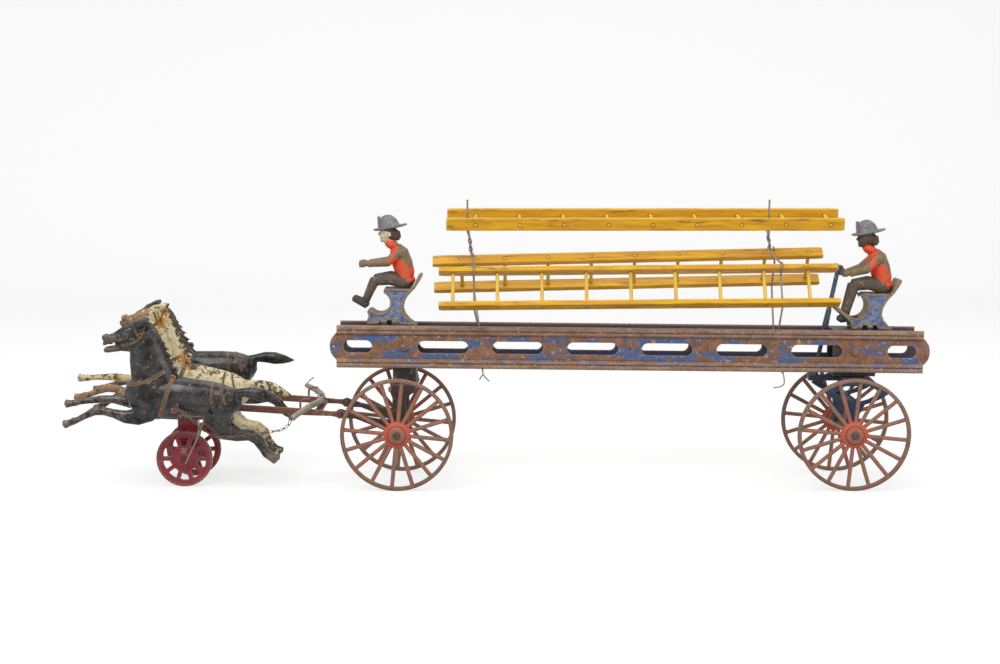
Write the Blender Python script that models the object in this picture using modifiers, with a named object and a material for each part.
# Horse-drawn hook-and-ladder toy, cast iron with wooden ladders, about 30 inches long.
# Frame: metres, +Z up, +X towards the wagon's rear, the viewed side at -Y.
# The origin lies on the ground under the middle of the toy.

import math

import bmesh
import bpy
from mathutils import Euler, Matrix, Vector

for old_object in list(bpy.data.objects):
    bpy.data.objects.remove(old_object, do_unlink=True)

MM = 0.001
GAP = 0.3 * MM
MERGE = 0.00005

# Wagon wheels
WHEEL_RADIUS = 50 * MM
WHEEL_SIDES = 32
SPOKES = 16
RIM_WIDTH = 4 * MM
RIM_DEPTH = 4.6 * MM
HUB_RADIUS = 12 * MM
HUB_LENGTH = 11 * MM
SPOKE_WIDTH = 2.8 * MM
AXLE_RADIUS = 2.5 * MM
HALF_TRACK = 47 * MM
FRONT_AXLE_X = -90.6 * MM
REAR_AXLE_X = 310.9 * MM

# Side rails and the bed between them
BED_X = 115.4 * MM
BED_Z = 122.1 * MM
BED_SLOPE = math.radians(0.6)
RAIL_LENGTH = 521.5 * MM
RAIL_HEIGHT = 37.8 * MM
RAIL_DEPTH = 4 * MM
WEB = 2 * MM
HALF_WIDTH = 21 * MM
NOSE_REACH = 6.1 * MM
SLOT_HEIGHT = 10.8 * MM
LONG_SLOT = 44.8 * MM
LONG_SLOT_PITCH = 66.45 * MM
SHORT_SLOT = 25.3 * MM
SHORT_SLOT_OFFSET = RAIL_LENGTH / 2 - 18.85 * MM
RIVET_OFFSET = 200.2 * MM
RIVET_RADIUS = 2.2 * MM
RIVET_HEAD = 4.5 * MM
BOLT_RADIUS = 2.5 * MM
BOLSTER_WALL = 3.5 * MM
FRONT_BOLSTER_LENGTH = 21 * MM
REAR_BOLSTER_LENGTH = 38.2 * MM
FRONT_BLOCK_DROP = 11.8 * MM
REAR_BLOCK_DROP = 3.6 * MM

# Trucks
TRUCK_HALF_WIDTH = 34.2 * MM
CHEEK = 3.2 * MM
BEAM_HEIGHT = 8 * MM
REAR_BEAM_HEIGHT = 6 * MM
HINGE_X = -141 * MM
HINGE_Z = 66.5 * MM
HINGE_PIN = 1.6 * MM
SPRING_THICKNESS = 3.4 * MM
SPRING_SPAN = 60 * MM
SPRING_HEIGHT = 23 * MM

# Team: cross rod, poles, fork and wheels
ROD_X = -250 * MM
ROD_Z = 73.6 * MM
ROD_RADIUS = 2.2 * MM
FAR_PIVOT_LIFT = 13 * MM
MIDDLE_LIFT = 2 * MM
MIDDLE_TURN = math.radians(5.8)
FAR_TURN = math.radians(-7.3)
HORSE_SPACING = 55 * MM
HORSE_HALF_WIDTH = 13 * MM
POLE_THICKNESS = 3 * MM
POLE_Y = TRUCK_HALF_WIDTH + POLE_THICKNESS / 2 + GAP
POLE_HEIGHT = 6 * MM
POLE_EYE = 4.6 * MM
TEAM_WHEEL_RADIUS = 25 * MM
TEAM_WHEEL_SIDES = 30
TEAM_SPOKES = 10
TEAM_WHEEL_Y = 25 * MM
TEAM_WHEEL_DEPTH = 4.6 * MM
TEAM_HUB = 12 * MM
TEAM_WINDOW_OUTER = 19.4 * MM
TEAM_AXLE_X = -281 * MM
TEAM_AXLE_RADIUS = 2 * MM
TEAM_HUB_LENGTH = 10 * MM
CRANK = 3.7 * MM
CRANK_PIN_REACH = 3.2 * MM
NEAR_CRANK_ANGLE = math.radians(-50)
CRANK_HOLE = Vector((-8.5 * MM, 0, -3 * MM))
FORK_TOP = 66 * MM
FORK_SHOULDER = 47 * MM
FORK_LENGTH = 18 * MM
FORK_THICKNESS = 11 * MM
TANG_LENGTH = 9 * MM
TANG_THICKNESS = 5 * MM
TANG_HEIGHT = 8 * MM
DOUBLETREE_X = -161 * MM
DOUBLETREE_RADIUS = 3 * MM
CHAIN_RADIUS = 0.8 * MM
TRACE_CLEAR = 1.6 * MM
CHAIN_END_Y = -68.3 * MM
TRACE_WIRE_RADIUS = 0.6 * MM

# Ladders and racks
LADDER_LENGTH = 352 * MM
LADDER_WIDTH = 33 * MM
LADDER_RAIL_DEPTH = 11 * MM
LADDER_RAIL_WIDTH = 4.5 * MM
RUNG_RADIUS = 1.6 * MM
RUNGS = 9
RUNG_PITCH = (LADDER_LENGTH - 38.4 * MM) / (RUNGS - 1)
RUNG_MARGIN = 12.5 * MM
NEAR_LADDER = Vector((BED_X + 6.6 * MM, -27.2 * MM, BED_Z + 56.3 * MM))
NEAR_LADDER_TURN = (math.radians(61.6), math.radians(-0.5), 0)
FAR_LADDER = Vector((BED_X, 27.5 * MM, BED_Z + 66.6 * MM))
FAR_LADDER_TURN = (math.radians(-50.7), math.radians(-1.25), 0)
TOP_LADDER = Vector((BED_X + 13.1 * MM, 2.1 * MM, BED_Z + 114.2 * MM))
TOP_LADDER_TURN = (math.radians(12.2), 0, 0)
WIRE_RADIUS = 0.7 * MM
FRONT_RACK_X = BED_X - 3.3393 * RUNG_PITCH
REAR_RACK_X = BED_X + 3.4719 * RUNG_PITCH
RACK_LEAN = -0.1
RACK_TIP = 15 * MM
TWIST_LOW = 206.5 * MM
TWIST_HEIGHT = 14 * MM
TWIST_RADIUS = WIRE_RADIUS + 1.2 * GAP

# Seats and figures
SEAT_WIDTH = 24 * MM
SEAT_HEIGHT = 31.7 * MM
SEAT_PLATE_X = 5 * MM
FIGURE_X = 12.6 * MM
SEAT_RIVET_X = -2 * MM
SEAT_RIVET_DEPTH = 8 * MM
FRONT_SEAT_X = BED_X - RIVET_OFFSET - 12.7 * MM
REAR_SEAT_X = BED_X + RIVET_OFFSET + 13.7 * MM

# Tiller
TILLER_RADIUS = 2.1 * MM
TILLER_TOP = Vector((302.2 * MM, 0, 192 * MM))
TILLER_GRIP_Z = 194.4 * MM

# Values that follow from the sizes above
WHEEL_FLAT = math.cos(math.pi / WHEEL_SIDES)
AXLE_Z = WHEEL_RADIUS * WHEEL_FLAT
TEAM_AXLE_Z = TEAM_WHEEL_RADIUS * math.cos(math.pi / TEAM_WHEEL_SIDES)
INNER_WIDTH = HALF_WIDTH - RAIL_DEPTH
POLE_SLOPE = (ROD_Z - HINGE_Z) / (ROD_X - HINGE_X)
DOUBLETREE_Z = (HINGE_Z + (DOUBLETREE_X - HINGE_X) * POLE_SLOPE + POLE_HEIGHT / 2
                + DOUBLETREE_RADIUS + 2 * GAP)
BED_PLACE = Matrix.Translation((BED_X, 0, BED_Z)) @ Matrix.Rotation(BED_SLOPE, 4, "Y")
FRONT_BLOCK_FOOT = BED_PLACE @ Vector((-RIVET_OFFSET, 0, -RAIL_HEIGHT / 2 - FRONT_BLOCK_DROP))
REAR_BLOCK_FOOT = BED_PLACE @ Vector((RIVET_OFFSET, 0, -RAIL_HEIGHT / 2 - REAR_BLOCK_DROP))
TILLER_FOOT = REAR_BLOCK_FOOT + Vector((-32.35 * MM, 0, 0.1 * MM))
WIRE_CLEAR = WIRE_RADIUS + GAP

# Collections, empties and materials

parts = bpy.data.collections.new("hook_and_ladder_toy")
cutters = bpy.data.collections.new("cutters")
bpy.context.scene.collection.children.link(parts)
bpy.context.scene.collection.children.link(cutters)


def material(name, color, roughness=0.5, metallic=0.0):
    made = bpy.data.materials.new(name)
    made.use_nodes = True
    shader = made.node_tree.nodes["Principled BSDF"]
    shader.inputs["Base Color"].default_value = (*color, 1)
    shader.inputs["Roughness"].default_value = roughness
    shader.inputs["Metallic"].default_value = metallic
    made.diffuse_color = (*color, 1)
    return made


RUST = material("rusted_iron", (0.25, 0.11, 0.05), 0.7, 0.3)
BLUE = material("blue_paint", (0.06, 0.13, 0.32), 0.5)
IRON = material("bare_iron", (0.12, 0.10, 0.09), 0.55, 0.7)
WHEEL_RED = material("worn_red_paint", (0.42, 0.10, 0.06), 0.6)
CRIMSON = material("crimson_paint", (0.36, 0.03, 0.06), 0.45)
POLE_RED = material("pole_paint", (0.20, 0.06, 0.04), 0.6)
BLACK = material("black_paint", (0.03, 0.035, 0.04), 0.35)
CREAM = material("cream_paint", (0.75, 0.66, 0.42), 0.5)
YELLOW = material("yellow_wood", (0.75, 0.36, 0.02), 0.5)
COAT = material("brown_and_red_paint", (0.18, 0.07, 0.05), 0.5)
TIN = material("grey_iron", (0.38, 0.33, 0.28), 0.5, 0.5)


def pivot(name, location, rotation=(0, 0, 0)):
    """An empty that holds the pieces of one assembly, or lies on a joint's axis."""
    empty = bpy.data.objects.new(name, None)
    empty.location = location
    empty.rotation_euler = rotation
    parts.objects.link(empty)
    return empty


def node(name, mesh, paint, location=(0, 0, 0), rotation=(0, 0, 0), parent=None, holder=None):
    """A sub-part, placed in its parent's frame, or in the world under an empty that holds it."""
    made = bpy.data.objects.new(name, mesh)
    made.location = location
    made.rotation_euler = rotation
    made.parent = parent
    if holder:
        made.parent = holder
        made.matrix_parent_inverse = Matrix.Translation(-holder.location)
    parts.objects.link(made)
    made.data.materials.clear()
    made.data.materials.append(paint)
    return made


def guide(mesh, location=(0, 0, 0), rotation=(0, 0, 0), parent=None):
    """A solid that cuts or joins another one and isn't a part itself."""
    made = bpy.data.objects.new("guide", mesh)
    made.location = location
    made.rotation_euler = rotation
    made.parent = parent
    made.hide_render = True
    made.display_type = "WIRE"
    cutters.objects.link(made)
    return made


def boolean(target, other, operation="DIFFERENCE"):
    step = target.modifiers.new(operation.lower(), "BOOLEAN")
    step.operation = operation
    step.object = other
    step.solver = "EXACT"


def evaluated_mesh(source, name, flatten=False):
    """The finished mesh of an object with its modifiers, welded; the object goes."""
    bpy.context.view_layer.update()
    graph = bpy.context.evaluated_depsgraph_get()
    mesh = bpy.data.meshes.new_from_object(source.evaluated_get(graph), depsgraph=graph)
    mesh.name = name
    bpy.data.objects.remove(source, do_unlink=True)
    work = bmesh.new()
    work.from_mesh(mesh)
    bmesh.ops.remove_doubles(work, verts=work.verts, dist=MERGE)
    if flatten:
        bmesh.ops.dissolve_limit(work, angle_limit=math.radians(0.2), verts=work.verts,
                                 edges=work.edges)
    bmesh.ops.recalc_face_normals(work, faces=work.faces)
    work.to_mesh(mesh)
    work.free()
    mesh.materials.clear()
    return mesh


# Shapes

def outline_mesh(name, loops, thickness):
    """A flat plate in local XY, centred on Z; the first loop is its edge, the rest are holes."""
    curve = bpy.data.curves.new(name, "CURVE")
    curve.dimensions = "2D"
    curve.fill_mode = "BOTH"
    curve.extrude = thickness / 2
    for loop in loops:
        spline = curve.splines.new("POLY")
        spline.points.add(len(loop) - 1)
        for point, (x, y) in zip(spline.points, loop):
            point.co = (x, y, 0, 1)
        spline.use_cyclic_u = True
    holder = bpy.data.objects.new(name, curve)
    parts.objects.link(holder)
    mesh = evaluated_mesh(holder, name)
    bpy.data.curves.remove(curve)
    return mesh


def arc(center, radius, start, end, steps):
    """Points on a circle, angles in degrees."""
    points = []
    for index in range(steps + 1):
        angle = math.radians(start + (end - start) * index / steps)
        points.append((center[0] + radius * math.cos(angle), center[1] + radius * math.sin(angle)))
    return points


def circle(center, radius, steps):
    return arc(center, radius, 0, 360, steps)[:-1]


def slot(center, length, height, steps=3):
    reach = (length - height) / 2
    right = arc((center[0] + reach, center[1]), height / 2, -90, 90, steps)
    left = arc((center[0] - reach, center[1]), height / 2, 90, 270, steps)
    return right + left


def box_mesh(name, size, center=(0, 0, 0)):
    work = bmesh.new()
    place = Matrix.Translation(center) @ Matrix.Diagonal((*size, 1))
    bmesh.ops.create_cube(work, size=1, matrix=place)
    mesh = bpy.data.meshes.new(name)
    work.to_mesh(mesh)
    work.free()
    return mesh


def rod_mesh(name, radius, length, sides=12, center=(0, 0, 0), along="Y", end_radius=None):
    """A straight rod or cone, centred, along one axis."""
    turns = {"X": Matrix.Rotation(math.pi / 2, 4, "Y"), "Y": Matrix.Rotation(-math.pi / 2, 4, "X"),
             "Z": Matrix.Identity(4)}
    place = Matrix.Translation(center) @ turns[along]
    work = bmesh.new()
    bmesh.ops.create_cone(work, cap_ends=True, segments=sides, radius1=radius,
                          radius2=radius if end_radius is None else end_radius,
                          depth=length, matrix=place)
    mesh = bpy.data.meshes.new(name)
    work.to_mesh(mesh)
    work.free()
    return mesh


def turned_mesh(name, profile, sides, phase=0.0):
    """A profile of (radius, height) from the top down, turned about Z and laid along Y."""
    mesh = bpy.data.meshes.new(name)
    mesh.from_pydata([(radius, 0, height) for radius, height in profile],
                     [(index, index + 1) for index in range(len(profile) - 1)], [])
    holder = bpy.data.objects.new(name, mesh)
    parts.objects.link(holder)
    screw = holder.modifiers.new("screw", "SCREW")
    screw.steps = sides
    screw.render_steps = sides
    screw.use_merge_vertices = True
    screw.merge_threshold = MERGE
    done = evaluated_mesh(holder, name)
    done.transform(Matrix.Rotation(math.pi / 2, 4, "X") @ Matrix.Rotation(phase, 4, "Z"))
    return done


def wire_mesh(name, points, radius, resolution=1):
    """A bent wire through the points, with closed ends."""
    curve = bpy.data.curves.new(name, "CURVE")
    curve.dimensions = "3D"
    curve.bevel_depth = radius
    curve.bevel_resolution = resolution
    curve.use_fill_caps = True
    spline = curve.splines.new("POLY")
    spline.points.add(len(points) - 1)
    for point, place in zip(spline.points, points):
        point.co = (*place, 1)
    holder = bpy.data.objects.new(name, curve)
    parts.objects.link(holder)
    mesh = evaluated_mesh(holder, name)
    bpy.data.curves.remove(curve)
    return mesh


def smooth_path(points, steps):
    """Points along a Catmull-Rom curve through the given points."""
    points = [Vector(point) for point in points]
    ends = [2 * points[0] - points[1]] + points + [2 * points[-1] - points[-2]]
    path = [points[0]]
    for index in range(1, len(ends) - 2):
        before, start, end, after = ends[index - 1:index + 3]
        for step in range(1, steps + 1):
            t = step / steps
            path.append(0.5 * (2 * start + (end - before) * t
                               + (2 * before - 5 * start + 4 * end - after) * t ** 2
                               + (3 * start - before - 3 * end + after) * t ** 3))
    return path


def union_mesh(name, meshes):
    """One closed body from meshes that overlap."""
    holder = bpy.data.objects.new(name, meshes[0])
    parts.objects.link(holder)
    guides = []
    for mesh in meshes[1:]:
        other = guide(mesh)
        guides.append(other)
        boolean(holder, other, "UNION")
    mesh = evaluated_mesh(holder, name, True)
    for other in guides:
        bpy.data.objects.remove(other, do_unlink=True)
    return mesh


def cut_mesh(name, mesh, tools, operation="DIFFERENCE"):
    holder = bpy.data.objects.new(name, mesh)
    parts.objects.link(holder)
    guides = []
    for tool in tools:
        other = guide(tool)
        guides.append(other)
        boolean(holder, other, operation)
    done = evaluated_mesh(holder, name, True)
    for other in guides:
        bpy.data.objects.remove(other, do_unlink=True)
    return done


def side_view(mesh, y=0.0):
    """Turns a plate from local XY to world XZ and moves it to y."""
    mesh.transform(Matrix.Translation((0, y, 0)) @ Matrix.Rotation(math.pi / 2, 4, "X"))
    return mesh


def limb_mesh(name, stations, sides=12):
    """A lofted limb: each station is (x, y, z, half height, half width), in millimetres."""
    work = bmesh.new()
    rings = []
    count = len(stations)
    for index, (x, y, z, high, wide) in enumerate(stations):
        ahead = Vector(stations[min(index + 1, count - 1)][:3])
        behind = Vector(stations[max(index - 1, 0)][:3])
        along = (ahead - behind).normalized()
        across = Vector((0, 1, 0))
        upward = along.cross(across).normalized()
        across = upward.cross(along).normalized()
        ring = []
        for side in range(sides):
            angle = 2 * math.pi * side / sides
            offset = upward * high * math.sin(angle) + across * wide * math.cos(angle)
            ring.append(work.verts.new((Vector((x, y, z)) + offset) * MM))
        rings.append(ring)
    for first, second in zip(rings, rings[1:]):
        for side in range(sides):
            after = (side + 1) % sides
            work.faces.new((first[side], first[after], second[after], second[side]))
    for ring, end in ((rings[0], 0), (rings[-1], -1)):
        x, y, z, high, wide = stations[end]
        other = stations[1] if end == 0 else stations[-2]
        along = (Vector((x, y, z)) - Vector(other[:3])).normalized()
        tip = work.verts.new((Vector((x, y, z)) + along * min(high, wide) * 0.6) * MM)
        for side in range(sides):
            after = (side + 1) % sides
            work.faces.new((ring[side], ring[after], tip))
    bmesh.ops.recalc_face_normals(work, faces=work.faces)
    mesh = bpy.data.meshes.new(name)
    work.to_mesh(mesh)
    work.free()
    return mesh


def fused_mesh(name, limbs, voxel, faces, smoothing=3):
    """Limbs melted into one cast form, then thinned to about the given number of faces."""
    work = bmesh.new()
    for limb in limbs:
        work.from_mesh(limb)
    mesh = bpy.data.meshes.new(name)
    work.to_mesh(mesh)
    work.free()
    holder = bpy.data.objects.new(name, mesh)
    parts.objects.link(holder)
    melt = holder.modifiers.new("melt", "REMESH")
    melt.mode = "VOXEL"
    melt.voxel_size = voxel
    soften = holder.modifiers.new("soften", "SMOOTH")
    soften.factor = 0.5
    soften.iterations = smoothing
    melted = evaluated_mesh(holder, name)
    holder = bpy.data.objects.new(name, melted)
    parts.objects.link(holder)
    thin = holder.modifiers.new("thin", "DECIMATE")
    thin.ratio = min(1.0, faces / (2 * len(melted.polygons)))
    return evaluated_mesh(holder, name)


# Wagon wheels

def spoke_mesh(angle, start, end, width):
    """One square spoke in the wheel's XZ plane."""
    mesh = box_mesh("spoke", (end - start, width, width), ((start + end) / 2, 0, 0))
    mesh.transform(Matrix.Rotation(-angle, 4, "Y"))
    return mesh


def wheel_mesh():
    phase = math.pi / WHEEL_SIDES
    half = RIM_DEPTH / 2
    inner = WHEEL_RADIUS - RIM_WIDTH
    rim = turned_mesh("rim", [(inner, half), (WHEEL_RADIUS, half), (WHEEL_RADIUS, -half),
                              (inner, -half), (inner, half)], WHEEL_SIDES, phase)
    bore = AXLE_RADIUS + GAP
    out = HUB_LENGTH / 2
    hub = turned_mesh("hub", [(bore, out), (7 * MM, out), (HUB_RADIUS, 0.8 * half),
                              (HUB_RADIUS, -0.8 * half), (7 * MM, -out),
                              (bore, -out), (bore, out)], SPOKES, phase)
    spokes = []
    for index in range(SPOKES):
        angle = 2 * math.pi * (index + 0.75) / SPOKES
        spokes.append(spoke_mesh(angle, 0.85 * HUB_RADIUS, inner + RIM_WIDTH / 2, SPOKE_WIDTH))
    return union_mesh("wagon_wheel", [rim, hub] + spokes)


def axle_mesh(name, radius, half_length, head_radius, head_length):
    """A plain axle with a peened head at each end."""
    neck = half_length - head_length
    return turned_mesh(name, [(0, half_length), (0.75 * head_radius, half_length),
                              (head_radius, neck), (radius, neck), (radius, -neck),
                              (head_radius, -neck), (0.75 * head_radius, -half_length),
                              (0, -half_length)], 10)


def wagon_axle(end, axle_x, truck):
    hub_end = HALF_TRACK + HUB_LENGTH / 2 + GAP
    axle = axle_mesh(end + "_axle", AXLE_RADIUS, hub_end + 1.6 * MM, 3.6 * MM, 1.6 * MM)
    node(end + "_axle", axle, IRON, (axle_x, 0, AXLE_Z), holder=truck)
    shared = bpy.data.meshes["wagon_wheel"]
    for side, sign in (("near", -1), ("far", 1)):
        hub = pivot(f"{end}_wheel_{side}_axis", (axle_x, sign * HALF_TRACK, AXLE_Z))
        node(f"{end}_wheel_{side}", shared, WHEEL_RED, parent=hub)


# Side rails, bolsters and rivets

def rail_mesh(sign):
    """A side rail about the bed's centre: pierced web with nosed ends and two flanges."""
    half = RAIL_HEIGHT / 2
    length = RAIL_LENGTH / 2
    nose = NOSE_REACH

    def nose_points(direction):
        shape = [(0, 0.62), (0.35, 0.55), (0.75, 0.35), (1, 0.12), (1, -0.12), (0.75, -0.35),
                 (0.35, -0.55), (0, -0.62)]
        return [(direction * (length + nose * reach), half * high) for reach, high in shape]

    edge = [(-length, half), (-length, half * 0.9)] + nose_points(-1)
    edge += [(-length, -half * 0.9), (-length, -half), (length, -half)]
    edge += list(reversed(nose_points(1)))[0:] + [(length, half)]
    holes = []
    for index in range(6):
        holes.append(slot(((index - 2.5) * LONG_SLOT_PITCH, 0), LONG_SLOT, SLOT_HEIGHT))
    for direction in (-1, 1):
        holes.append(slot((direction * SHORT_SLOT_OFFSET, 0), SHORT_SLOT, SLOT_HEIGHT))
        holes.append(circle((direction * RIVET_OFFSET, 0), RIVET_RADIUS + GAP, 12))
    web_y = sign * (INNER_WIDTH + WEB / 2)
    web = side_view(outline_mesh("web", [edge] + holes, WEB), web_y)
    solids = [web]
    for direction in (-1, 1):
        deep = RAIL_DEPTH
        shape = [(0.2 * MM, half), (deep - 1.4 * MM, half), (deep - 0.3 * MM, half - 0.8 * MM),
                 (deep, half - 2 * MM), (deep - 0.2 * MM, half - 4.6 * MM),
                 (deep - 1.2 * MM, half - 6 * MM), (WEB - 0.2 * MM, half - 8.6 * MM),
                 (0.2 * MM, half - 8.6 * MM)]
        points = [(sign * (INNER_WIDTH + out), direction * high) for out, high in shape]
        flange = outline_mesh("flange", [points], RAIL_LENGTH - 2 * GAP)
        flange.transform(Matrix.Rotation(math.pi / 2, 4, "Z") @ Matrix.Rotation(math.pi / 2, 4, "X"))
        solids.append(flange)
    return union_mesh("side_rail", solids)


def bolster_mesh(name, length, drop, plate_from, plate_to, center_x, seat_rivet_x):
    """An open box between the rails with a top plate for the seat and a block below."""
    half = RAIL_HEIGHT / 2
    wide = INNER_WIDTH - GAP
    low = -half - drop
    outer = [(-wide, low), (wide, low), (wide, half), (-wide, half)]
    inside = wide - BOLSTER_WALL
    window = [(-inside, -half + 3 * MM), (inside, -half + 3 * MM),
              (inside, half - BOLSTER_WALL), (-inside, half - BOLSTER_WALL)]
    frame = outline_mesh("bolster", [outer, window], length)
    frame.transform(Matrix.Translation((center_x, 0, 0)) @ Matrix.Rotation(math.pi / 2, 4, "Z")
                    @ Matrix.Rotation(math.pi / 2, 4, "X"))
    plate_length = plate_to - plate_from
    plate = box_mesh("plate", (plate_length, 2 * wide, BOLSTER_WALL),
                     ((plate_from + plate_to) / 2, 0, half - BOLSTER_WALL / 2))
    bore = rod_mesh("bore", BOLT_RADIUS + GAP, 4 * drop + 20 * MM, 12,
                    (center_x, 0, low), "Z")
    hole = rod_mesh("hole", RIVET_RADIUS + GAP, 3 * wide, 12, (center_x, 0, 0))
    seat_hole = rod_mesh("seat_hole", RIVET_RADIUS + GAP, 3 * BOLSTER_WALL, 12,
                         (seat_rivet_x, 0, half), "Z")
    return cut_mesh(name, union_mesh(name, [frame, plate]), [bore, hole, seat_hole])


def build_bed():
    bed = pivot("bed_frame", (BED_X, 0, BED_Z), (0, BED_SLOPE, 0))
    for side, sign in (("near", -1), ("far", 1)):
        node(side + "_side_rail", rail_mesh(sign), RUST, parent=bed)
    front = bolster_mesh("front_bolster", FRONT_BOLSTER_LENGTH, FRONT_BLOCK_DROP,
                         -RIVET_OFFSET - 34 * MM, -RIVET_OFFSET + FRONT_BOLSTER_LENGTH / 2,
                         -RIVET_OFFSET, FRONT_SEAT_X - BED_X + SEAT_RIVET_X)
    node("front_bolster", front, BLUE, parent=bed)
    rear = bolster_mesh("rear_bolster", REAR_BOLSTER_LENGTH, REAR_BLOCK_DROP,
                        RIVET_OFFSET - REAR_BOLSTER_LENGTH / 2, RIVET_OFFSET + 33 * MM,
                        RIVET_OFFSET, REAR_SEAT_X - BED_X + SEAT_RIVET_X)
    node("rear_bolster", rear, BLUE, parent=bed)
    head = 1.6 * MM
    reach = INNER_WIDTH + WEB + GAP + head
    for end, sign in (("front", -1), ("rear", 1)):
        rivet = axle_mesh(end + "_frame_rivet", RIVET_RADIUS, reach, RIVET_HEAD, head)
        node(end + "_frame_rivet", rivet, RUST, (sign * RIVET_OFFSET, 0, 0), parent=bed)
    return bed


def bolt_mesh(name, radius, length, head_radius, head):
    """An upright bolt from z = 0 up, with a head at both ends beyond its length."""
    mesh = axle_mesh(name, radius, length / 2 + head, head_radius, head)
    mesh.transform(Matrix.Translation((0, 0, length / 2)) @ Matrix.Rotation(math.pi / 2, 4, "X"))
    return mesh


# Seats

def seat_rear_points():
    """The seat casting's outline from the base's rear foot up to the front of the seat plate."""
    return [(21, 0), (17, 3), (12.5, 8), (10.5, 13), (11.5, 19), (15, 25.5), (20, 31), (24.5, 37),
            (27.8, 43.5), (26.5, 45), (24.2, 44), (19.5, 33.5), (17, 31.7), (-6.3, 31.7),
            (-6.8, 28.6)]


def seat_mesh(name, front, hollow_center, hollow_radius, foot_left):
    """A seat seen from the side, with its footboard's outline in front."""
    hollow = arc(hollow_center, hollow_radius, 62, -136, 12)
    base = [(foot_left, 0), (-11, 0), (-9, 3.4), (5.5, 3.4), (7.5, 0)]
    points = base + seat_rear_points() + hollow + front
    loop = [(x * MM, z * MM) for x, z in points]
    seat = side_view(outline_mesh(name, [loop], SEAT_WIDTH))
    bore = rod_mesh("bore", RIVET_RADIUS + GAP, 2 * SEAT_RIVET_DEPTH, 12,
                    (SEAT_RIVET_X, 0, GAP), "Z")
    return cut_mesh(name, seat, [bore])


def seat_rivet_mesh():
    """A rivet from under the bolster's plate into the seat, its top at z = 0."""
    length = SEAT_RIVET_DEPTH + BOLSTER_WALL + 2 * GAP
    head = 1.4 * MM
    mesh = turned_mesh("seat_rivet", [(0, 0), (RIVET_RADIUS, 0), (RIVET_RADIUS, -length),
                                      (RIVET_HEAD, -length), (0.8 * RIVET_HEAD, -length - head),
                                      (0, -length - head)], 12)
    mesh.transform(Matrix.Rotation(-math.pi / 2, 4, "X"))
    return mesh


def build_seats(bed):
    top = RAIL_HEIGHT / 2 + GAP
    driver = seat_mesh("driver_seat", [(-19.5, 12.9), (-21.2, 11.5), (-19.8, 7), (-21.5, 3)],
                       (-10.1, 19.2), 9.4, -21.5)
    tiller = seat_mesh("tiller_seat", [(-21, 13.6), (-29.5, 20.2), (-31, 18.6), (-23, 11),
                                       (-17.5, 6), (-16.5, 3)],
                       (-12.3, 20.3), 10.4, -16)
    well = box_mesh("well", (24 * MM, 17 * MM, 44 * MM), (-20.5 * MM, 0, 24.5 * MM))
    tiller = cut_mesh("tiller_seat", tiller, [well])
    for name, mesh, seat_x in (("driver", driver, FRONT_SEAT_X), ("tiller", tiller, REAR_SEAT_X)):
        place = (seat_x - BED_X, 0, top)
        node(name + "_seat", mesh, BLUE, place, parent=bed)
        rivet_place = (place[0] + SEAT_RIVET_X, 0, top + SEAT_RIVET_DEPTH)
        node(name + "_seat_rivet", seat_rivet_mesh(), IRON, rivet_place, parent=bed)


# Figures

def torso_limbs():
    """Trunk, neck, head and helmet, from the hips up."""
    trunk = limb_mesh("trunk", [(0, 0, 4.5, 7, 9), (0, 0, 13, 8.6, 9.6), (-2.5, 0, 22, 9.2, 10.5),
                                (-5.5, 0, 31, 8.6, 11), (-8.5, 0, 36, 5.5, 7)])
    neck = limb_mesh("neck", [(-8, 0, 34, 5, 5), (-12, 0, 41, 4.5, 4.5), (-13.5, 0, 44, 4.5, 4.5)])
    head = limb_mesh("head", [(-14, 0, 40, 5, 4.6), (-14.6, 0, 44, 7.4, 6.4),
                              (-14.6, 0, 49, 8, 7), (-14.4, 0, 54, 7.2, 6.6)])
    crown = limb_mesh("crown", [(-14.2, 0, 53.5, 9.2, 8), (-14.4, 0, 57, 8.2, 7),
                                (-14.6, 0, 61, 6.6, 5), (-14.8, 0, 63.5, 4, 2.6)])
    brim = limb_mesh("brim", [(-13.6, 0, 53.2, 13.2, 9.6), (-13.5, 0, 54.2, 13.6, 10),
                              (-13.7, 0, 55.2, 12.4, 9)])
    return [trunk, neck, head, crown, brim]


def arm_limbs(elbow, wrist, hand):
    limbs = []
    for sign in (-1, 1):
        limbs.append(limb_mesh("arm", [(-5, sign * 9.5, 31.5, 4.6, 4.6),
                                       (elbow[0], sign * elbow[1], elbow[2], 4, 4),
                                       (wrist[0], sign * wrist[1], wrist[2], 2.9, 2.9),
                                       (hand[0], sign * hand[1], hand[2], 3.2, 3.1)], 10))
    return limbs


def leg_limbs(knee, ankle, heel, toe):
    limbs = []
    for sign in (-1, 1):
        limbs.append(limb_mesh("thigh", [(1, sign * 5, 5.4, 6.8, 5), (knee[0] / 2, sign * 5.5, 8.4, 6, 4.9),
                                         (knee[0], sign * knee[1], knee[2], 4.9, 4.4)], 10))
        limbs.append(limb_mesh("shin", [(knee[0], sign * knee[1], knee[2], 4.6, 4.2),
                                        (ankle[0], sign * ankle[1], ankle[2], 3.3, 3.2)], 10))
        limbs.append(limb_mesh("boot", [(heel[0], sign * heel[1], heel[2], 3.2, 3),
                                        (toe[0], sign * toe[1], toe[2], 2.3, 2.6)], 10))
    return limbs


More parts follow.
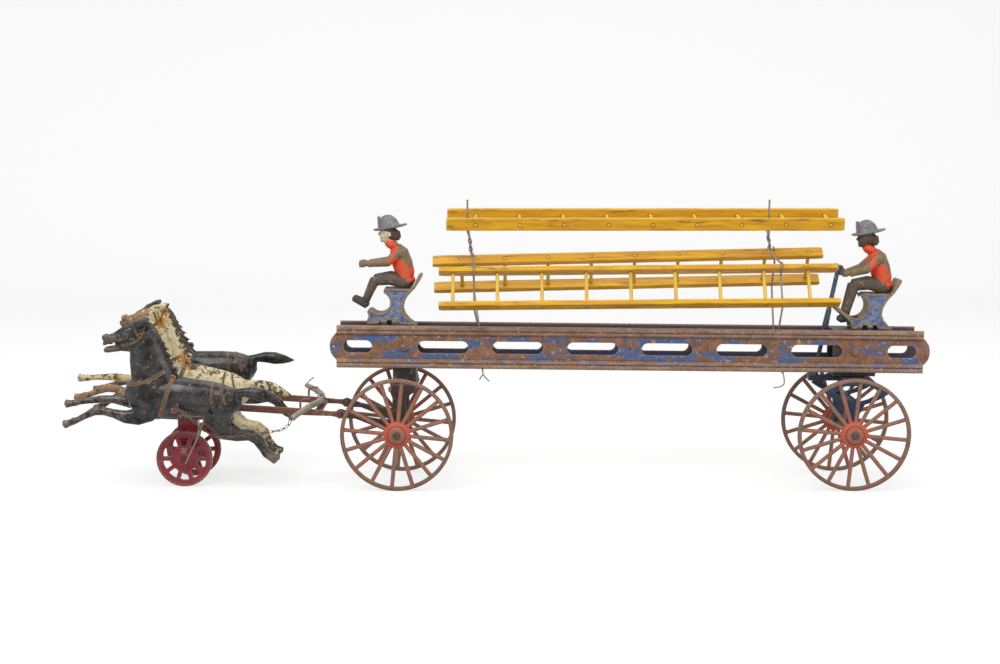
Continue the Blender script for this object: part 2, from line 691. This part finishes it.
def build_figures():
    driver = torso_limbs() + arm_limbs((-15, 10.5, 23), (-32, 7, 21.5), (-38.5, 5.4, 21.3))
    driver += leg_limbs((-27, 6, 6.6), (-35.2, 5.4, -11.5), (-34.4, 5.4, -14.6), (-45.6, 5.4, -9))
    tillerman = torso_limbs() + arm_limbs((-17, 12, 21), (-29.5, 9.4, 17.6), (-35, 8.4, 17.6))
    tillerman += leg_limbs((-25.5, 4.9, 6.6), (-33.4, 4.6, -20.5), (-33.4, 4.6, -23),
                           (-38, 4.6, -24.5))
    seat_top = RAIL_HEIGHT / 2 + GAP + SEAT_HEIGHT
    for name, limbs, seat_x in (("driver_figure", driver, FRONT_SEAT_X),
                                ("tillerman_figure", tillerman, REAR_SEAT_X)):
        plate = BED_PLACE @ Vector((seat_x - BED_X + SEAT_PLATE_X, 0, seat_top))
        below = box_mesh("below", (60 * MM, 60 * MM, 20 * MM), (16 * MM, 0, -10 * MM - GAP))
        mesh = cut_mesh(name, fused_mesh(name, limbs, 0.9 * MM, 850), [below])
        node(name, mesh, COAT, (seat_x + FIGURE_X, 0, plate.z + 2 * GAP))


# Trucks

def arm_outline():
    """A curved draw arm in side view, from the hinge eye to the pedestal."""
    upper = [(-128, 66.5), (-116, 63.5), (-104, 61.5), (-95, 62)]
    lower = [(-95, 48), (-104, 52), (-116, 57.2), (-128, 62)]
    eye = arc((HINGE_X, HINGE_Z), HINGE_PIN + GAP + 2.4 * MM, 75, 285, 8)
    below = [(x * MM, z * MM) for x, z in lower]
    above = [(x * MM, z * MM) for x, z in upper]
    return below + list(reversed(eye)) + above


def front_truck_mesh():
    top = FRONT_BLOCK_FOOT.z - 2 * GAP
    solids = []
    bores = []
    for sign in (-1, 1):
        y = sign * (TRUCK_HALF_WIDTH - CHEEK / 2)
        boss = circle((FRONT_AXLE_X, AXLE_Z), 6 * MM, 16)
        arm = arm_outline()
        pedestal = [(-95.5, 47), (-86, 47), (-83, 60), (-83.6, 80), (-76.5, 85.2), (-76.2, 88.6),
                    (-95.8, 88.6), (-97.2, 86), (-95, 80)]
        column = [(x * MM, z * MM) for x, z in pedestal]
        for loop, thickness in ((column, 1), (boss, 1.3), (arm, 0.86)):
            solids.append(side_view(outline_mesh("cheek", [loop], thickness * CHEEK), y))
        bores.append(rod_mesh("bore", HINGE_PIN + GAP, 4 * CHEEK, 10, (HINGE_X, y, HINGE_Z)))
    beam = box_mesh("beam", (FRONT_BOLSTER_LENGTH, 2 * TRUCK_HALF_WIDTH + MM, BEAM_HEIGHT),
                    (FRONT_BLOCK_FOOT.x, 0, top - BEAM_HEIGHT / 2))
    solids.append(beam)
    bores.append(rod_mesh("bore", AXLE_RADIUS + GAP, 3 * TRUCK_HALF_WIDTH, 12,
                          (FRONT_AXLE_X, 0, AXLE_Z)))
    bores.append(rod_mesh("bore", BOLT_RADIUS + GAP, 3 * BEAM_HEIGHT, 12,
                          (FRONT_BLOCK_FOOT.x, 0, top), "Z"))
    return cut_mesh("front_truck_casting", union_mesh("front_truck", solids), bores)


def lens_points(half_span, rise, drop, steps=8):
    """A pointed oval: a rising arc to the right and a falling one back."""
    upper = [(half_span * (2 * i / steps - 1), rise * (1 - (2 * i / steps - 1) ** 2))
             for i in range(steps + 1)]
    lower = [(half_span * (1 - 2 * i / steps), -drop * (1 - (1 - 2 * i / steps) ** 2))
             for i in range(1, steps)]
    return list(reversed(upper + lower))


def rear_truck_mesh():
    top = REAR_BLOCK_FOOT.z - 2 * GAP
    middle = top - SPRING_HEIGHT / 2
    half_span = SPRING_SPAN / 2
    solids = []
    for sign in (-1, 1):
        y = sign * (TRUCK_HALF_WIDTH - CHEEK / 2)
        outer = lens_points(half_span, SPRING_HEIGHT / 2 - 0.4 * MM, SPRING_HEIGHT / 2)
        thin = SPRING_THICKNESS
        inner = lens_points(half_span - 3 * thin, SPRING_HEIGHT / 2 - thin - 0.4 * MM,
                            SPRING_HEIGHT / 2 - thin)
        moved = []
        for loop in (outer, inner):
            moved.append([(REAR_BLOCK_FOOT.x + x, middle + z) for x, z in loop])
        solids.append(side_view(outline_mesh("spring", moved, CHEEK), y))
        boss = circle((REAR_AXLE_X, AXLE_Z), 6 * MM, 16)
        pedestal = [(REAR_AXLE_X - 5 * MM, AXLE_Z), (REAR_AXLE_X + 5 * MM, AXLE_Z),
                    (REAR_AXLE_X + 7 * MM, 66 * MM), (REAR_AXLE_X + 13 * MM, middle - 8 * MM),
                    (REAR_AXLE_X - 6 * MM, middle - 8 * MM), (REAR_AXLE_X - 5 * MM, 66 * MM)]
        for loop, thickness in ((boss, 1.3), (pedestal, 0.86)):
            solids.append(side_view(outline_mesh("pedestal", [loop], thickness * CHEEK), y))
    beam_length = 2 * 10.5 * MM
    beam = box_mesh("beam", (beam_length, 2 * TRUCK_HALF_WIDTH + MM, REAR_BEAM_HEIGHT),
                    (REAR_BLOCK_FOOT.x, 0, top - REAR_BEAM_HEIGHT / 2))
    tongue_end = TILLER_FOOT.x - 6 * MM
    tongue = box_mesh("tongue", (REAR_BLOCK_FOOT.x - tongue_end, 9 * MM, 5 * MM),
                      ((REAR_BLOCK_FOOT.x + tongue_end) / 2, 0, top - 2.6 * MM))
    low_bar = rod_mesh("low_bar", 3 * MM, 2 * TRUCK_HALF_WIDTH - CHEEK, 10,
                       (REAR_BLOCK_FOOT.x - 1 * MM, 0, middle - SPRING_HEIGHT / 2 + 1.8 * MM))
    solids += [beam, tongue, low_bar]
    bores = [rod_mesh("bore", AXLE_RADIUS + GAP, 3 * TRUCK_HALF_WIDTH, 12,
                      (REAR_AXLE_X, 0, AXLE_Z)),
             rod_mesh("bore", BOLT_RADIUS + GAP, 40 * MM, 12, (REAR_BLOCK_FOOT.x, 0, top), "Z")]
    return cut_mesh("rear_truck_casting", union_mesh("rear_truck", solids), bores)


def king_bolt(name, sign, bolster_drop, beam_height, bed):
    """A bolt from under the truck's beam up into the bolster's open middle."""
    inside = -RAIL_HEIGHT / 2 + 3 * MM + GAP
    start = -RAIL_HEIGHT / 2 - bolster_drop - beam_height - 4 * GAP
    bolt = bolt_mesh(name, BOLT_RADIUS, inside - start, 4 * MM, 1.6 * MM)
    node(name, bolt, IRON, (sign * RIVET_OFFSET, 0, start), parent=bed)


def build_trucks(bed):
    king_bolt("front_king_bolt", -1, FRONT_BLOCK_DROP, BEAM_HEIGHT, bed)
    king_bolt("rear_king_bolt", 1, REAR_BLOCK_DROP, REAR_BEAM_HEIGHT, bed)
    front = pivot("front_truck_axis", (FRONT_BLOCK_FOOT.x, 0, 0))
    node("front_truck_casting", front_truck_mesh(), RUST, holder=front)
    wagon_axle("front", FRONT_AXLE_X, front)
    rear = pivot("rear_truck_axis", (REAR_BLOCK_FOOT.x, 0, 0))
    node("rear_truck_casting", rear_truck_mesh(), BLUE, holder=rear)
    wagon_axle("rear", REAR_AXLE_X, rear)
    for side, sign in (("near", -1), ("far", 1)):
        length = CHEEK + POLE_THICKNESS + 2 * GAP
        pin = axle_mesh(side + "_hinge_pin", HINGE_PIN, length / 2 + 1.5 * MM, 2.8 * MM, 1.2 * MM)
        y = sign * (TRUCK_HALF_WIDTH - CHEEK / 2 + POLE_Y) / 2
        node(side + "_hinge_pin", pin, IRON, (HINGE_X, y, HINGE_Z), holder=front)
    post_line = TILLER_TOP - TILLER_FOOT
    post = rod_mesh("post", TILLER_RADIUS, post_line.length, 10, (0, 0, post_line.length / 2), "Z")
    sleeve = rod_mesh("sleeve", 3 * MM, 17 * MM, 10, (0, 0, 51 * MM), "Z", 2.5 * MM)
    knob = rod_mesh("knob", 3.4 * MM, 5 * MM, 10, (0, 0, 2.6 * MM), "Z", 3 * MM)
    lean = (0, math.atan2(post_line.x, post_line.z), 0)
    foot = (TILLER_FOOT.x, 0, TILLER_FOOT.z)
    post = union_mesh("tiller_post", [post, sleeve, knob])
    node("tiller_post", post, BLUE, foot, lean, holder=rear)
    grip = 2.1 * MM
    bar = turned_mesh("tiller_handle", [(0, 14 * MM), (1.6 * MM, 14 * MM), (grip, 13 * MM),
                                        (grip, 6 * MM), (1.5 * MM, 5 * MM), (1.5 * MM, -5 * MM),
                                        (grip, -6 * MM), (grip, -13 * MM), (1.6 * MM, -14 * MM),
                                        (0, -14 * MM)], 10)
    node("tiller_handle", bar, BLACK, (TILLER_TOP.x + 0.5 * MM, 0, TILLER_GRIP_Z), holder=rear)


# Team

def pole_outline(ear_lift):
    """A pole in side view, with an eye at each end and a raised ear over the front one."""
    if ear_lift:
        front = arc((ROD_X, ROD_Z + ear_lift), POLE_EYE, 0, 180, 8)
        front += arc((ROD_X, ROD_Z), POLE_EYE, 180, 320, 6)
    else:
        front = arc((ROD_X, ROD_Z), POLE_EYE, 40, 320, 10)
    rear = arc((HINGE_X, HINGE_Z), POLE_EYE - 0.6 * MM, -140, 140, 10)
    half = POLE_HEIGHT / 2

    def on_line(x, rise):
        return (x, HINGE_Z + (x - HINGE_X) * POLE_SLOPE + rise)

    upper = [on_line(HINGE_X - 8 * MM, half * 0.7), on_line(HINGE_X - 34 * MM, half),
             on_line(ROD_X + 8 * MM, half)]
    lower = [on_line(ROD_X + 8 * MM, -half), on_line(HINGE_X - 34 * MM, -half),
             on_line(HINGE_X - 8 * MM, -half * 0.7)]
    return rear + upper + front + lower


def build_poles(team):
    for side, sign, lift in (("near", -1, 0), ("far", 1, FAR_PIVOT_LIFT)):
        holes = [circle((ROD_X, ROD_Z), ROD_RADIUS + GAP, 12),
                 circle((HINGE_X, HINGE_Z), HINGE_PIN + GAP, 10)]
        if lift:
            holes.append(circle((ROD_X, ROD_Z + lift), ROD_RADIUS + GAP, 12))
        loops = [pole_outline(lift)] + holes
        pole = side_view(outline_mesh(side + "_pole", loops, POLE_THICKNESS), sign * POLE_Y)
        node(side + "_pole", pole, POLE_RED, holder=team)
    near_end = -HORSE_SPACING - 8 * MM
    far_end = POLE_Y + POLE_THICKNESS / 2 + 2 * MM
    rod = rod_mesh("cross_rod", ROD_RADIUS, far_end - near_end, 12,
                   (0, (near_end + far_end) / 2, 0))
    node("cross_rod", rod, IRON, (ROD_X, 0, ROD_Z), holder=team)
    start = POLE_Y - POLE_THICKNESS / 2 - 2 * MM
    end = HORSE_SPACING + 8 * MM
    stub = rod_mesh("far_pivot_rod", ROD_RADIUS, end - start, 12, (0, (start + end) / 2, 0))
    node("far_pivot_rod", stub, IRON, (ROD_X, 0, ROD_Z + FAR_PIVOT_LIFT), holder=team)


def horse_limbs():
    """The horse about its pivot hole, nose towards -X, in millimetres."""
    trunk = limb_mesh("trunk", [(-71, 0, 22, 9, 7), (-65, 0, 16, 15.5, 10.5), (-50, 0, 11.5, 19.6, 12.6),
                                (-28, 0, 9.8, 19, 13), (-6, 0, 8.6, 17.6, 12.6), (9, 0, 8.2, 15.8, 12),
                                (18, 0, 8.8, 11.5, 9.5), (23, 0, 10, 6.5, 5)], 16)
    neck = limb_mesh("neck", [(-48, 0, 18, 19, 11), (-53, 0, 32, 18.5, 9.6), (-56, 0, 46, 16.2, 8),
                              (-58, 0, 58, 13, 7), (-60, 0, 68, 10, 6.2)], 14)
    head = limb_mesh("head", [(-59, 0, 70, 9, 6), (-69, 0, 64.2, 11.6, 7.2), (-79, 0, 60.4, 9.4, 6.2),
                              (-88, 0, 58.6, 7.3, 5.2), (-93.5, 0, 57.6, 5.8, 4.6)], 12)
    limbs = [trunk, neck, head]
    for sign in (-1, 1):
        limbs.append(limb_mesh("ear", [(-61, sign * 3.2, 74, 3.4, 2.6), (-57.5, sign * 3.6, 79.5, 2, 1.7),
                                       (-55.8, sign * 3.6, 82, 1, 1)], 8))
        limbs.append(limb_mesh("hind_leg", [(7, sign * 5.5, 4, 13, 6.5), (5.5, sign * 6.2, -10, 10.5, 5.8),
                                            (9, sign * 6.4, -20, 7.6, 4.8),
                                            (22, sign * 6.2, -25.4, 4.6, 3.6),
                                            (36, sign * 5.8, -23.4, 4.2, 3.2),
                                            (44, sign * 5.6, -31, 3.2, 2.7),
                                            (50.5, sign * 5.6, -39.4, 3, 2.6),
                                            (56.5, sign * 5.6, -44.6, 3.7, 3.2)], 10))
    tail = limb_mesh("tail", [(17, 0, 13, 5.5, 5), (27, 0, 15, 4.3, 4), (39, 0, 15, 5.2, 4.4),
                              (49, 0, 12, 4.6, 3.8), (58, 0, 6.6, 2, 1.8)], 10)
    high_foreleg = limb_mesh("foreleg", [(-58, 5.5, 6, 10, 6), (-74, 6, 6.4, 6.4, 4.6),
                                         (-88, 6, 8.2, 4.3, 3.6), (-99, 6, 8.8, 3.7, 3.2),
                                         (-113, 6, 6.4, 3, 2.7), (-122, 6, 4.6, 2.8, 2.6),
                                         (-131, 6, 4.4, 3.8, 3.3)], 10)
    low_foreleg = limb_mesh("foreleg", [(-56, -5.5, 0, 10.5, 6), (-70, -6, -7, 6.4, 4.6),
                                        (-84, -6, -3, 4.7, 3.8), (-98, -6, 2, 4, 3.3),
                                        (-106, -6, 0.6, 3.6, 3), (-115, -6, -6, 3, 2.7),
                                        (-122, -6, -10.4, 2.8, 2.6), (-131, -6, -12, 3.8, 3.3)], 10)
    return limbs + [tail, high_foreleg, low_foreleg]


def horse_halves():
    """The two cast halves of a horse, open inside the barrel."""
    whole = fused_mesh("horse", horse_limbs(), 1.1 * MM, 720)
    size = 300 * MM
    halves = {}
    for side, sign in (("near", -1), ("far", 1)):
        space = box_mesh("space", (size, size, size), (0, sign * (size / 2 + GAP / 2), 0))
        half = cut_mesh("half", whole.copy(), [space], "INTERSECT")
        core = limb_mesh("core", [(-60, 0, 14, 9, 6.5), (-44, 0, 11.5, 14.6, 9),
                                  (-12, 0, 9.2, 13.6, 9.4)], 8)
        halves[side] = cut_mesh("horse_half_" + side, half, [core])
    return halves


def build_team():
    team = pivot("team_hinge", (HINGE_X, 0, HINGE_Z))
    build_poles(team)
    build_doubletree(team)
    halves = horse_halves()
    places = (("near", -HORSE_SPACING, 0, 0, 0, BLACK),
              ("middle", 0, 0, MIDDLE_LIFT, MIDDLE_TURN, CREAM),
              ("far", HORSE_SPACING, FAR_PIVOT_LIFT, 0, FAR_TURN, BLACK))
    tang = box_mesh("tang_slot", (TANG_LENGTH + 2 * GAP, TANG_THICKNESS + 2 * GAP, 40 * MM),
                    (TEAM_AXLE_X, 0, FORK_TOP + TANG_HEIGHT + GAP - 20 * MM))
    for name, y, rod_lift, body_lift, turn, paint in places:
        hub = pivot(name + "_horse_axis", (ROD_X, y, ROD_Z + rod_lift), (0, turn, 0))
        for side in ("near", "far"):
            hole = rod_mesh("pivot_hole", ROD_RADIUS + GAP, 100 * MM, 12, (0, 0, -body_lift))
            tools = [hole]
            if {name, side} == {"near", "far"}:
                inner = 1 if side == "far" else -1
                reach = rod_mesh("rod_hole", WIRE_CLEAR, HORSE_HALF_WIDTH, 8,
                                 (CRANK_HOLE.x, inner * HORSE_HALF_WIDTH, CRANK_HOLE.z))
                tools.append(reach)
            if name == "middle":
                slot_tool = tang.copy()
                to_horse = Matrix.Translation((ROD_X, y, ROD_Z)) @ Matrix.Rotation(turn, 4, "Y") \
                    @ Matrix.Translation((0, 0, body_lift))
                slot_tool.transform(to_horse.inverted())
                tools.append(slot_tool)
            mesh = cut_mesh(f"{name}_{side}_half", halves[side].copy(), tools)
            node(f"{name}_horse_{side}_half", mesh, paint, (0, 0, body_lift), parent=hub)
    build_team_wheels(team)
    build_crank_rods()
    build_traces()


def doubletree_path():
    """Points along the middle of the bow, from its near end to its far end."""
    pole = POLE_Y / MM
    offsets = [(-20, -65, -7.2), (-13, -pole - 14, -2.6), (-6, -pole, 0.4), (-1.8, -20, 0.2), (0, 0, 0),
               (-1.8, 20, 0.2), (-6, pole, 0.4), (-12.5, pole + 14, 1.8), (-20, 65, 3.4)]
    center = Vector((DOUBLETREE_X, 0, DOUBLETREE_Z))
    return smooth_path([center + Vector(offset) * MM for offset in offsets], 2)


def build_doubletree(team):
    """The bow on the poles, its pivot on a spreader bar, and the two hooks that limit its swing."""
    bow_z = DOUBLETREE_Z
    pole_z = bow_z - POLE_HEIGHT / 2 - 2 * GAP - DOUBLETREE_RADIUS
    bar_y = POLE_Y - POLE_THICKNESS / 2 - GAP
    bar = box_mesh("bar", (6 * MM, 2 * bar_y, 3 * MM), (DOUBLETREE_X, 0, pole_z))
    pin_top = bow_z + DOUBLETREE_RADIUS + 2 * MM
    pin = rod_mesh("pin", 1.5 * MM, pin_top - pole_z, 10,
                   (DOUBLETREE_X, 0, (pin_top + pole_z) / 2), "Z")
    node("pole_spreader", union_mesh("pole_spreader", [bar, pin]), POLE_RED, holder=team)
    bow = wire_mesh("bow", doubletree_path(), DOUBLETREE_RADIUS)
    boss = rod_mesh("boss", 3.9 * MM, 2 * DOUBLETREE_RADIUS + 0.4 * MM, 12,
                    (DOUBLETREE_X, 0, bow_z), "Z")
    eye = rod_mesh("eye", 1.5 * MM + GAP, 20 * MM, 12, (DOUBLETREE_X, 0, bow_z), "Z")
    bow = cut_mesh("doubletree", union_mesh("doubletree", [bow, boss]), [eye])
    node("doubletree", bow, TIN, holder=pivot("doubletree_axis", (DOUBLETREE_X, 0, bow_z)))
    hook_x = DOUBLETREE_X - 15 * MM
    start = HINGE_Z + (hook_x - HINGE_X) * POLE_SLOPE + POLE_HEIGHT / 2 + GAP
    top = bow_z + DOUBLETREE_RADIUS + 2.6 * MM
    for side, sign in (("near", -1), ("far", 1)):
        y = sign * POLE_Y
        points = [(hook_x, y, start), (hook_x, y, top - 3 * MM), (hook_x + 2 * MM, y, top - 0.6 * MM),
                  (hook_x + 5 * MM, y, top), (hook_x + 8.6 * MM, y, top - 0.2 * MM)]
        node(side + "_pole_hook", wire_mesh("hook", points, 1 * MM), POLE_RED, holder=team)


def build_crank_rods():
    """Thin rods from the team wheels' crank pins up into the outer horses' inner halves."""
    plane = TEAM_WHEEL_Y + TEAM_HUB_LENGTH / 2 + CRANK_PIN_REACH + WIRE_CLEAR
    end_y = HORSE_SPACING - HORSE_HALF_WIDTH / 2 - GAP
    for side, sign, angle, lift, turn in (
            ("near", -1, NEAR_CRANK_ANGLE, 0, 0),
            ("far", 1, NEAR_CRANK_ANGLE + math.pi, FAR_PIVOT_LIFT, FAR_TURN)):
        foot = Vector((TEAM_AXLE_X + CRANK * math.cos(angle), sign * plane,
                       TEAM_AXLE_Z + CRANK * math.sin(angle)))
        axis = Vector((ROD_X, 0, ROD_Z + lift))
        top = axis + Matrix.Rotation(turn, 3, "Y") @ CRANK_HOLE
        bend = Vector((top.x - 0.6 * MM, sign * (plane + 0.3 * MM), top.z - 3 * MM))
        middle = foot.lerp(bend, 0.5) + Vector((0.8 * MM, 0, -0.6 * MM))
        route = [foot, middle, bend, Vector((top.x, sign * (plane + 3 * MM), top.z)),
                 Vector((top.x, sign * end_y, top.z))]
        rod = wire_mesh("crank_rod", route, WIRE_RADIUS)
        node(side + "_crank_rod", rod, IRON, holder=pivot(side + "_crank_rod_axis", axis))


def build_traces():
    """The near horse's trace chain, and the loose wire left on the doubletree's far end."""
    bow = doubletree_path()
    outward = (bow[0] - bow[1]).normalized()
    outward.z = 0
    hook = bow[0] + outward.normalized() * (CHAIN_RADIUS + TRACE_CLEAR)
    route = [hook + Vector((0, 0, 2 * MM)), hook, hook - Vector((0, 0, 3.6 * MM))]
    route += [Vector(point) * MM for point in [
        (-187.5, -69.4, 58.8), (-196, -70.2, 56.8), (-206, -70.8, 55.4), (-218, -70.7, 53.6),
        (-231, -70.4, 52.2), (-244, -70.2, 52), (-252, -70.2, 55), (-259, -70.2, 61),
        (-268, -69.8, 68.6), (-275, -68.9, 74), (-279.4, CHAIN_END_Y / MM, 76.8)]]
    chain = wire_mesh("near_trace_chain", smooth_path(route, 3), CHAIN_RADIUS)
    node("near_trace_chain", chain, IRON)
    outward = (bow[-1] - bow[-2]).normalized()
    start = bow[-1] + outward * GAP
    tail = [start, start + outward * 1.5 * MM]
    tail += [start + Vector(offset) * MM for offset in [(0.6, 3.4, 2), (3.4, 4, 4.6), (6.6, 2.8, 7)]]
    wire = wire_mesh("far_trace_wire", smooth_path(tail, 2), TRACE_WIRE_RADIUS)
    node("far_trace_wire", wire, IRON)


def team_wheel_mesh(crank_angle, out):
    """A cast disc wheel with windows, a domed hub and a crank pin on its outer side."""
    rim = arc((0, 0), TEAM_WHEEL_RADIUS, 0, 360, TEAM_WHEEL_SIDES)[:-1]
    windows = []
    for index in range(TEAM_SPOKES):
        middle = 360 * (index + 0.5) / TEAM_SPOKES
        windows.append(arc((0, 0), TEAM_WINDOW_OUTER, middle - 12.5, middle + 12.5, 2)
                       + arc((0, 0), TEAM_HUB, middle + 9, middle - 9, 1))
    disc = side_view(outline_mesh("disc", [rim] + windows, TEAM_WHEEL_DEPTH))
    half = TEAM_WHEEL_DEPTH / 2
    face = TEAM_HUB_LENGTH / 2
    wide = TEAM_HUB - 1.5 * MM
    hub = turned_mesh("hub", [(0, face), (5 * MM, face), (wide, half), (wide + 0.5 * MM, 0),
                              (wide, -half), (5 * MM, -face), (0, -face)], 10)
    pin_x = CRANK * math.cos(crank_angle)
    pin_z = CRANK * math.sin(crank_angle)
    inner_end = face - 1.8 * MM
    outer_end = face + CRANK_PIN_REACH
    pin = rod_mesh("pin", 1.1 * MM, outer_end - inner_end, 8,
                   (pin_x, out * (inner_end + outer_end) / 2, pin_z))
    bore = rod_mesh("bore", TEAM_AXLE_RADIUS + GAP, 30 * MM, 12)
    bored = cut_mesh("team_wheel", union_mesh("team_wheel", [disc, hub]), [bore])
    return union_mesh("team_wheel", [bored, pin])


def build_team_wheels(team):
    axis = pivot("team_axle_axis", (TEAM_AXLE_X, 0, TEAM_AXLE_Z))
    for side, sign, angle in (("near", -1, NEAR_CRANK_ANGLE), ("far", 1, NEAR_CRANK_ANGLE + math.pi)):
        wheel = team_wheel_mesh(angle, sign)
        node("team_wheel_" + side, wheel, CRIMSON, (0, sign * TEAM_WHEEL_Y, 0), parent=axis)
    half_length = TEAM_WHEEL_Y + TEAM_HUB_LENGTH / 2
    node("team_axle", rod_mesh("team_axle", TEAM_AXLE_RADIUS, 2 * half_length, 12), IRON,
         parent=axis)
    top = FORK_TOP - TEAM_AXLE_Z
    shoulder = FORK_SHOULDER - TEAM_AXLE_Z
    half = FORK_LENGTH / 2
    foot = 4.6 * MM
    shape = [(half, shoulder), (half, top), (-half, top), (-half, shoulder)]
    shape += arc((0, 0), foot, 180, 360, 8)
    body = side_view(outline_mesh("fork", [shape], FORK_THICKNESS))
    bore = rod_mesh("bore", TEAM_AXLE_RADIUS + GAP, 30 * MM, 12)
    tang = box_mesh("tang", (TANG_LENGTH, TANG_THICKNESS, 2 * TANG_HEIGHT), (0, 0, top))
    fork = cut_mesh("team_fork", union_mesh("fork", [body, tang]), [bore])
    node("team_fork", fork, CRIMSON, (TEAM_AXLE_X, 0, TEAM_AXLE_Z), holder=team)


# Ladders and racks

def ladder_mesh(name, first_rung):
    """A ladder along X, flat in XY: two rails on edge and nine rungs through them."""
    solids = []
    for sign in (-1, 1):
        solids.append(box_mesh("rail", (LADDER_LENGTH, LADDER_RAIL_WIDTH, LADDER_RAIL_DEPTH),
                               (0, sign * LADDER_WIDTH / 2, 0)))
    for index in range(RUNGS):
        x = -LADDER_LENGTH / 2 + first_rung + index * RUNG_PITCH
        rung = rod_mesh("rung", RUNG_RADIUS, LADDER_WIDTH + LADDER_RAIL_WIDTH / 3, 8)
        rung.transform(Matrix.Translation((x, 0, 0)) @ Matrix.Rotation(0.31, 4, "Y"))
        solids.append(rung)
    return union_mesh(name, solids)


def build_ladders():
    """Places the three ladders and gives their frames."""
    other_margin = LADDER_LENGTH - RUNG_MARGIN - (RUNGS - 1) * RUNG_PITCH
    places = (("near_ladder", NEAR_LADDER, NEAR_LADDER_TURN, RUNG_MARGIN),
              ("far_ladder", FAR_LADDER, FAR_LADDER_TURN, other_margin),
              ("top_ladder", TOP_LADDER, TOP_LADDER_TURN, other_margin))
    frames = []
    for name, place, turn, margin in places:
        node(name, ladder_mesh(name, margin), YELLOW, place, turn)
        frames.append(Matrix.LocRotScale(place, Euler(turn), None))
    return frames


def rail_point(frame, x, side, across, out):
    """A point near one rail of a ladder at the given x, from that rail's middle."""
    along = (x - frame.translation.x) / frame.col[0].x
    return frame @ Vector((along, side * LADDER_WIDTH / 2 + across, out))


def rack_route(sign, foot_x, lean, shift, side_frame, top_frame):
    """A rack wire: hook under the rail, round the side ladder's upper rail, twist, top ladder."""
    beside = LADDER_RAIL_WIDTH / 2 + WIRE_CLEAR
    behind = LADDER_RAIL_DEPTH / 2 + WIRE_CLEAR
    rail_middle = BED_PLACE @ Vector((foot_x - BED_X, 0, 0))
    low = rail_middle.z - RAIL_HEIGHT / 2 - WIRE_CLEAR
    high = rail_middle.z + RAIL_HEIGHT / 2
    inner = INNER_WIDTH - WIRE_CLEAR

    def lean_x(z):
        return foot_x + lean * (z - low)

    points = [Vector((lean_x(low), sign * (HALF_WIDTH + MM), low)),
              Vector((lean_x(low), sign * inner, low)),
              Vector((lean_x(high), sign * inner, high))]
    upper = -sign
    x = lean_x(side_frame.translation.z) + shift
    for side, across, out in ((-upper, 0, -behind), (upper, -upper * beside, -behind),
                              (upper, -upper * beside, behind), (upper, upper * beside, behind),
                              (upper, upper * beside, behind / 2)):
        points.append(rail_point(side_frame, x, side, across, out))
    twist_low = max(points[-1].z, TWIST_LOW)
    turns = 8
    for index in range(turns + 1):
        angle = 2 * math.pi * index / turns
        z = twist_low + TWIST_HEIGHT * index / turns
        points.append(Vector((lean_x(z) + sign * TWIST_RADIUS * math.sin(angle),
                              sign * TWIST_RADIUS * math.cos(angle), z)))
    x = lean_x(top_frame.translation.z)
    if sign < 0:
        prong = ((-1, -0.5 * beside, -behind), (-1, beside, -behind), (-1, beside, behind),
                 (-1, beside + MM, behind + RACK_TIP))
    else:
        prong = ((1, -beside, -behind), (1, beside, -behind), (1, beside, 0))
    for side, across, out in prong:
        points.append(rail_point(top_frame, x, side, across, out))
    return points


def build_racks(frames):
    near_frame, far_frame, top_frame = frames
    for end, foot_x, shift in (("front", FRONT_RACK_X, 0), ("rear", REAR_RACK_X, 5 * MM)):
        for side, sign, frame in (("near", -1, near_frame), ("far", 1, far_frame)):
            route = rack_route(sign, foot_x, RACK_LEAN, shift, frame, top_frame)
            wire = wire_mesh(f"{end}_rack_wire_{side}", route, WIRE_RADIUS)
            node(f"{end}_rack_wire_{side}", wire, IRON)


bed_frame = build_bed()
build_seats(bed_frame)
wheel_mesh()
build_trucks(bed_frame)
build_figures()
build_team()
build_racks(build_ladders())
